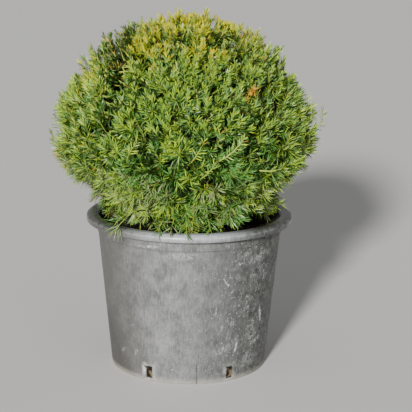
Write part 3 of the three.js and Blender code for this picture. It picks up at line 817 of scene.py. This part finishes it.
def makePot():
    low, high = potShape["slotFoot"], potShape["slotHead"]
    corners = np.array([
        (0.4, 0, 0), (139.6, 0, 3.6), (wallRadius(low), low, 0), (wallRadius(high), high, 0),
        (wallRadius(high + 4), high + 4, 0), (wallRadius(high + 8), high + 8, 0), (164, 246, 0.9),
        (165.6, 247.6, 0.9), (167.2, 275, 2), (182.4, 275, 1.2), (182.4, 267, 0.9), (185, 267, 1),
        (185, 276, 2.4), (177, 280, 2.4), (165.6, 280, 2), (161.2, 275, 2), (161.2, 246, 1),
        (innerRadius(high), high, 0), (innerRadius(low), low, 0), (133.2, 4, 0), (0.4, 4, 0),
    ], float)
    profile = turnedProfile(corners)
    half = math.asin(potShape["slotWidth"] / 2 / potShape["slotRadius"])
    sector = 2 * math.pi / potShape["slots"]
    filling = np.linspace(half, sector - half, potShape["between"], endpoint=False)
    steps = np.hstack([half * np.array([-1, -0.5, 0, 0.5]), filling])
    starts = (np.arange(potShape["slots"]) + 0.5) * sector + potShape["slotTurn"] * deg
    angles = (starts[:, None] + steps).reshape(-1)
    points, quads, caps = turned(profile, angles)
    i, j = np.indices(quads.shape[:2])
    columns, per = len(angles), len(steps)

    def rowOf(radius, height):
        # The profile's row nearest to a radius and a height.
        return int(np.argmin(np.hypot(profile[:, 0] - radius, profile[:, 1] - height)))

    # The slots' cells lie between the rows at the slots' foot and head, outside and inside.
    outLow, outHigh = rowOf(wallRadius(low), low), rowOf(wallRadius(high), high)
    inLow, inHigh = rowOf(innerRadius(low), low), rowOf(innerRadius(high), high)
    inSlot = (j % per < 4) & (((i >= outLow) & (i < outHigh)) | ((i >= inHigh) & (i < inLow)))
    wall = quads[~inSlot]
    first = np.arange(potShape["slots"]) * per
    across = (first[:, None] + np.arange(4)).reshape(-1)
    sides = [
        (outHigh, across + 1, outHigh, across, inHigh, across, inHigh, across + 1),
        (outLow, across, outLow, across + 1, inLow, across + 1, inLow, across),
        (outLow, first, inLow, first, inHigh, first, outHigh, first),
        (outLow, first + 4, outHigh, first + 4, inHigh, first + 4, inLow, first + 4),
    ]
    cells = [[side[n] * columns + side[n + 1] for n in (0, 2, 4, 6)] for side in sides]
    bridges = np.vstack([np.stack(cell, -1) for cell in cells])
    faces = [np.vstack([wall, bridges]), caps]
    smooth = np.arange(len(wall) + len(bridges) + 2) < len(wall)
    plastic = newMaterial("polyethylene, weathered and scuffed", shadePot)
    piece = buildMesh("pot_body", points, faces, [plastic], smooth=smooth)
    r, z = profile[:, :1], profile[:, 1:]
    # Wear falls off with distance from the slots' edges. The rim's outer edge is paler all round: worn, and a
    # painted highlight as well.
    columnsOff = np.minimum((j[0] - 2) % per, (2 - j[0]) % per)
    beside = np.clip(np.array([0, 0, 1, 1.5, 2.5, 3.5, 4.5])[np.minimum(columnsOff, 6)] * 3 - 3, 0, None)
    above = np.clip(np.maximum(low - z, z - high), 0, None)
    wear = np.clip(1.25 - np.hypot(beside[None, :], above) / 6, 0, 1) * (r > wallRadius(z) - 1)
    wear = wear * np.where((j[0] - 2) % per < per / 2, 0.4, 1) * np.where(np.sin(angles) > 0, 0.4, 1)
    outerEdge = (profile[:, 0] > 180) & (profile[:, 1] > 274)
    wear[outerEdge] = 0.4
    layer = piece.data.attributes.new("wear", "FLOAT", "POINT")
    layer.data.foreach_set("value", wear.astype(np.float32).reshape(-1))
    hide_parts("pot")


makePot()
print("scene: pot made")

# The compost: dark, crumbly, with chips of composted bark; it shows in the slots and between sprays.
compostLook = {
    # The pale clod colour is also painted light, where the compost shows in the slots.
    "dark": "#130f0b", "mid": "#261c15", "pale": "#4c3c2d", "dryAndLit": "#c2a77c",
    "top": 247, "mound": 3, "clear": 0.3, "lumpMm": 1.6, "chips": 700, "chipReach": 155,
}


def shadeCompost(node):
    # Wet humus with straw-coloured fibres: two scales of dark brown, quite matt. Low down, where it shows in
    # the slots, pale clods are mixed in: dry crumbs, and painted light falling in through the slots.
    place = node("TexCoord", out="Object")
    crumbs = node("TexNoise", {"Vector": place, "Scale": 180.0, "Detail": 6.0, "Roughness": 0.7})
    stops = [(0.35, compostLook["dark"]), (0.55, compostLook["mid"]), (0.75, compostLook["pale"])]
    colour = node("ValToRGB", [crumbs], stops=stops)
    height = node("SeparateXYZ", [place], out="Z")
    low = node("MapRange", [height], span=(0.014, 0.026, 0.45, 0.0))
    clods = node("TexNoise", {"Vector": place, "Scale": 75.0, "Detail": 3.0})
    clods = node("MapRange", [clods], span=(0.47, 0.56, 0.0, 1.5))
    dryAndLit = node("Math", [low, node("Math", [crumbs, clods], "MULTIPLY")], "MULTIPLY")
    colour = node("MixRGB", [dryAndLit, colour, linear(compostLook["dryAndLit"])])
    bump = node("Bump", {"Height": crumbs, "Strength": 0.9, "Distance": 0.002})
    return {"Base Color": colour, "Normal": bump, "Roughness": 0.95, "Specular IOR Level": 0.2}


def lumps(x, y):
    # Height in mm of the crumbly surface over a place: three crossed pairs of waves of falling size.
    total = np.sin(0.09 * x + 1.3) * np.sin(0.11 * y + 0.4)
    total = total + 0.6 * np.sin(0.23 * x - 0.17 * y) * np.sin(0.19 * y + 0.31 * x)
    return compostLook["lumpMm"] * (total + 0.5 * np.sin(0.61 * x + 2) * np.sin(0.57 * y + 0.3 * x))


def makeCompost():
    # From the middle of the mound over its edge, down the wall and in along the floor, taken from below.
    top, clear = compostLook["top"], compostLook["clear"]
    edge = innerRadius(top) - clear
    topR = edge * np.linspace(0, 1, 46)[1:]
    topZ = top + compostLook["mound"] * np.clip((edge - topR) / 40, 0, 1)
    wallZ = np.linspace(top, 8, 60)[1:]
    mound, wall = np.stack([topR, topZ], -1), np.stack([innerRadius(wallZ) - clear, wallZ], -1)
    profile = np.vstack([mound, wall, [[133, 4.3], [2, 4.3]]])[::-1]
    points, quads, caps = turned(profile, fullTurn(144))
    x, y, z = np.moveaxis(points, -1, 0)
    z += np.where((z > top - 0.1) & (np.hypot(x, y) < edge - 1), lumps(x, y) - 1, 0)
    faces = [quads.reshape(-1, 4), caps]
    humus = newMaterial("compost, damp peat and bark fines", shadeCompost)
    piece = buildMesh("compost_fill", points, faces, [humus], smooth=True)
    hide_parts("compost")
    # Chips: flat eight-sided shards strewn evenly, each turned and tipped by chance.
    item = np.arange(compostLook["chips"])
    level, turn = compostLook["chipReach"] * np.sqrt(chance(item, 31)), 2 * math.pi * chance(item, 32)
    x, y = level * np.sin(turn), -level * np.cos(turn)
    keep = np.hypot(x - trunkFoot[0], y) > 30
    item, x, y = item[keep], x[keep], y[keep]
    middle = np.stack([x, y, top + compostLook["mound"] + 0.2 + lumps(x, y) - 1], -1)
    spin = 2 * math.pi * chance(item, 33)
    long = np.stack([np.cos(spin), np.sin(spin), 0.5 * (chance(item, 34) - 0.5)], -1)
    wide = unit(np.cross(np.broadcast_to(up, long.shape) + 0.4 * (chance(item, 35) - 0.5)[:, None], long))
    thick = np.cross(long, wide)
    sizes = [3 + 5 * chance(item, 36) ** 2, 1.5 + 2.5 * chance(item, 37), 0.6 + 0.8 * chance(item, 38)]
    arms = np.stack([long, wide, thick], 1) * np.stack(sizes, -1)[..., None]
    points = np.hstack([middle[:, None] + arms, middle[:, None] - arms])
    shape = np.array([(0, 1, 2), (1, 3, 2), (3, 4, 2), (4, 0, 2), (1, 0, 5), (3, 1, 5), (4, 3, 5), (0, 4, 5)])
    faces = (np.arange(len(points))[:, None, None] * 6 + shape).reshape(-1, 3)
    chipBark = plainMaterial("composted bark chip, pale brown", compostLook["pale"], 0.9, 0.2)
    chipDark = plainMaterial("composted bark chip, dark brown", compostLook["mid"], 0.9, 0.2)
    faceMaterial = np.repeat(np.arange(len(points)) % 3 > 0, 8)
    piece = buildMesh("compost_chips", points, [faces], [chipBark, chipDark], faceMaterial)


makeCompost()
print("scene: compost made")

# The studio: a pale floor, one soft low key, a weak fill and sky, and the photo's camera.
studio = {
    "floor": "#dcdad5",
    "reach": 30,
    "key": {"azimuth": -14, "elevation": 19, "softness": 6, "strength": 5.5},
    "fill": {"place": (2.5, -4.5, 2.1), "aim": (0, 0, 0.35), "size": 2.4, "watts": 20},
    "sky": ("#e6e8ea", 0.32),
    "camera": {"place": (0.0294, -2.469, 0.867), "pitch": 76.82, "roll": 0.7, "lens": 123.1},
}


def makeStudio():
    turn = fullTurn(96)
    edge = np.stack([np.cos(turn), np.sin(turn), 0 * turn], -1) * studio["reach"] / mm
    board = plainMaterial("painted board, matt", studio["floor"], 0.9, 0.2)
    floor = buildMesh("floor", edge, [np.arange(len(turn))[None]], [board], rides=False)
    # The key is a far lamp with parallel light, low and a little left of the camera, as the photo's sun is.
    key = studio["key"]
    lamp = bpy.data.lights.new("key", "SUN")
    lamp.angle, lamp.energy = key["softness"] * deg, key["strength"]
    holder = putObject("key", lamp)
    holder.rotation_euler = ((90 - key["elevation"]) * deg, 0, key["azimuth"] * deg)
    fill = studio["fill"]
    lamp = bpy.data.lights.new("fill", "AREA")
    lamp.shape, lamp.size, lamp.energy = "DISK", fill["size"], fill["watts"]
    holder = putObject("fill", lamp)
    holder.location = fill["place"]
    holder.visible_camera = False
    aim = np.array(fill["aim"]) - np.array(fill["place"])
    tilt, heading = math.acos(-aim[2] / np.linalg.norm(aim)), math.atan2(aim[1], aim[0])
    holder.rotation_euler = (tilt, 0, heading - math.pi / 2)
    world = bpy.data.worlds.new("soft sky")
    bpy.context.scene.world = world
    world.use_nodes = True
    sky = world.node_tree.nodes["Background"]
    sky.inputs["Color"].default_value = linear(studio["sky"][0])
    sky.inputs["Strength"].default_value = studio["sky"][1]
    camera = studio["camera"]
    lens = bpy.data.cameras.new("camera")
    lens.lens, lens.sensor_width = camera["lens"], 36
    holder = putObject("camera", lens)
    holder.location = camera["place"]
    holder.rotation_mode = "ZXY"
    holder.rotation_euler = (camera["pitch"] * deg, 0, camera["roll"] * deg)
    bpy.context.scene.camera = holder


makeStudio()
print("scene: studio made")
